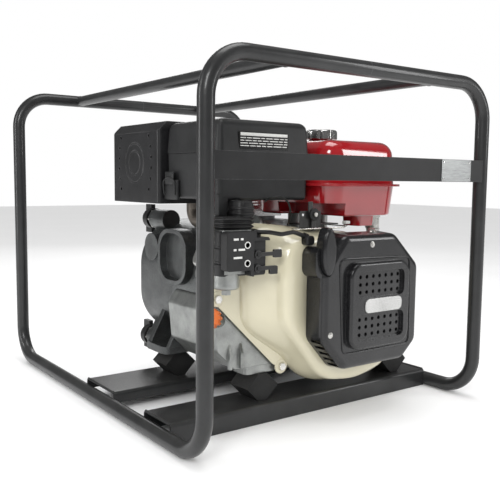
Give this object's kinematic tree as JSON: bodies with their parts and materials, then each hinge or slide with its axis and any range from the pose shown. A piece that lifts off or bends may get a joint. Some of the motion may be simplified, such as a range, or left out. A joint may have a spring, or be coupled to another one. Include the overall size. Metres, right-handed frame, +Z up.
{
  "type": "portable fire pump",
  "caption": "Portable fire pump: an air-cooled engine with recoil starter and fuel tank drives a close-coupled centrifugal pump inside a bent-tube carrying frame.",
  "frame": {"origin": "on the ground, under the middle of the frame", "axes": "+X to the right when facing the starter, +Y along the crankshaft from the starter to the pump, +Z up"},
  "size_m": [0.625, 0.785, 0.595],
  "materials": {
    "frame_black": "semi-gloss black powder coat",
    "bar_black": "satin black paint",
    "plate_aluminium": "plain pressed plate, satin",
    "rivet_steel": "bright domed rivets",
    "mount_rubber": "matt black moulded rubber",
    "zinc_steel": "zinc plated",
    "cast_aluminium": "die cast, fine grain",
    "bearing_steel": "ground steel",
    "cover_steel": "pressed, satin",
    "piston_aluminium": "turned",
    "flywheel_iron": "cast, machined face",
    "shroud_cream": "gloss cream-white paint on sheet steel",
    "recoil_black": "satin-gloss black moulded plastic",
    "badge_silver": "plain silver badge, no lettering",
    "reel_plastic": "moulded",
    "grip_plastic": "moulded black grip",
    "tank_red": "high-gloss red paint",
    "cap_plastic": "moulded black plastic",
    "cap_chrome": "bright plated steel",
    "air_plastic": "fine-grain black plastic",
    "filter_paper": "pleated paper",
    "elbow_rubber": "ribbed black rubber",
    "control_plastic": "moulded",
    "lever_steel": "black levers",
    "guard_black": "satin black heat-resistant paint",
    "muffler_steel": "heat-darkened sheet",
    "lead_rubber": "black lead and boot",
    "bracket_black": "black zinc",
    "pump_grey": "cast, dark grey finish",
    "port_aluminium": "machined thread",
    "impeller_iron": "cast",
    "seal_rubber": "nitrile",
    "oil_cap_orange": "moulded orange"
  },
  "bodies": {
    "machine": {"left_hoop": "frame_black", "right_hoop": "frame_black", "cross_rails": "frame_black", "guard_bar": "bar_black", "rating_plate": "plate_aluminium", "plate_rivets": "rivet_steel", "front_channel": "frame_black", "rear_channel": "frame_black", "rubber_mounts": "mount_rubber", "mount_bolts": "zinc_steel", "crankcase": "cast_aluminium", "pto_cover": "cast_aluminium", "main_bearings": "bearing_steel", "cylinder": "cast_aluminium", "cylinder_head": "cast_aluminium", "rocker_cover": "cover_steel", "fan_shroud": "shroud_cream", "recoil_cover": "recoil_black", "badge": "badge_silver", "tank_top": "tank_red", "tank_bottom": "tank_red", "fuel_outlet": "zinc_steel", "air_cleaner_base": "air_plastic", "air_cleaner_cover": "air_plastic", "air_filter": "filter_paper", "intake_elbow": "elbow_rubber", "carburetor": "cast_aluminium", "float_bowl": "cast_aluminium", "control_cover": "control_plastic", "muffler_guard": "guard_black", "muffler_body": "muffler_steel", "exhaust_pipe": "muffler_steel", "spark_plug": "zinc_steel", "ignition_lead": "lead_rubber", "lead_grommet": "lead_rubber", "control_bracket": "bracket_black", "pump_casing": "pump_grey", "pump_cover": "pump_grey", "suction_port": "port_aluminium", "discharge_port": "port_aluminium", "diffuser": "pump_grey", "mechanical_seal": "seal_rubber", "plug_necks": "zinc_steel", "cover_screws": "zinc_steel"},
    "crank": {"crankshaft": "bearing_steel", "flywheel": "flywheel_iron", "impeller": "impeller_iron"},
    "piston": {"piston": "piston_aluminium"},
    "grip": {"starter_grip": "grip_plastic"},
    "reel": {"starter_reel": "reel_plastic"},
    "throttle": {"throttle_lever": "bracket_black"},
    "governor": {"governor_arm": "zinc_steel"},
    "rod": {"governor_rod": "zinc_steel"},
    "choke": {"choke_lever": "lever_steel"},
    "fuel_valve": {"fuel_lever": "lever_steel"},
    "tank_cap": {"fuel_cap": "cap_chrome"},
    "oil_cap": {"oil_cap": "oil_cap_orange"},
    "priming_cap": {"priming_cap": "cap_plastic"},
    "drain_cap": {"drain_cap": "cap_plastic"},
    "flap": {"check_valve_flap": "seal_rubber"}
  },
  "joints": [
    {"name": "crank_spin", "type": "hinge", "parent": "machine", "child": "crank", "pos_m": [0.062, -0.18, 0.2], "axis": [0, 1, 0], "continuous": true},
    {"name": "piston_slide", "type": "slide", "parent": "machine", "child": "piston", "axis": [-0.9063, 0, 0.4226], "range_m": [0, 0.064]},
    {"name": "grip_pull", "type": "slide", "parent": "machine", "child": "grip", "axis": [0, -1, 0], "range_m": [0, 0.8]},
    {"name": "reel_turn", "type": "hinge", "parent": "machine", "child": "reel", "pos_m": [0.062, -0.34, 0.2], "axis": [0, 1, 0], "range_deg": [0, 1018.79]},
    {"name": "throttle_turn", "type": "hinge", "parent": "machine", "child": "throttle", "pos_m": [-0.024, -0.287, 0.35], "axis": [0, 1, 0], "range_deg": [-18, 18]},
    {"name": "governor_turn", "type": "hinge", "parent": "machine", "child": "governor", "pos_m": [0.046, -0.238, 0.31], "axis": [0, 0, 1], "range_deg": [-8.1, 8.1]},
    {"name": "rod_slide", "type": "slide", "parent": "machine", "child": "rod", "axis": [1, 0, 0], "range_m": [-0.0076, 0.0076]},
    {"name": "choke_turn", "type": "hinge", "parent": "machine", "child": "choke", "pos_m": [-0.162, -0.31, 0.292], "axis": [0, 1, 0], "range_deg": [-22, 8]},
    {"name": "fuel_turn", "type": "hinge", "parent": "machine", "child": "fuel_valve", "pos_m": [-0.162, -0.31, 0.27], "axis": [0, 1, 0], "range_deg": [0, 60]},
    {"name": "tank_cap_turn", "type": "hinge", "parent": "machine", "child": "tank_cap", "pos_m": [0.084, -0.18, 0.49], "axis": [0, 0, 1], "continuous": true},
    {"name": "oil_cap_turn", "type": "hinge", "parent": "machine", "child": "oil_cap", "pos_m": [-0.20934, -0.25827, 0.18714], "axis": [-0.7454, -0.5963, 0.2981], "continuous": true},
    {"name": "priming_cap_turn", "type": "hinge", "parent": "machine", "child": "priming_cap", "pos_m": [-0.112, 0.116, 0.326], "axis": [0, 1, 0], "continuous": true},
    {"name": "drain_cap_turn", "type": "hinge", "parent": "machine", "child": "drain_cap", "pos_m": [-0.118, 0.116, 0.082], "axis": [0, 1, 0], "continuous": true},
    {"name": "flap_swing", "type": "hinge", "parent": "machine", "child": "flap", "pos_m": [0.062, 0.079, 0.247], "axis": [1, 0, 0], "range_deg": [-40, 0]}
  ],
  "couplings": [
    {"joint": "reel_turn", "follows": "grip_pull", "rad_per_m": 22.222},
    {"joint": "rod_slide", "follows": "throttle_turn", "m_per_rad": -0.0235},
    {"joint": "governor_turn", "follows": "throttle_turn", "ratio": -0.4434}
  ]
}
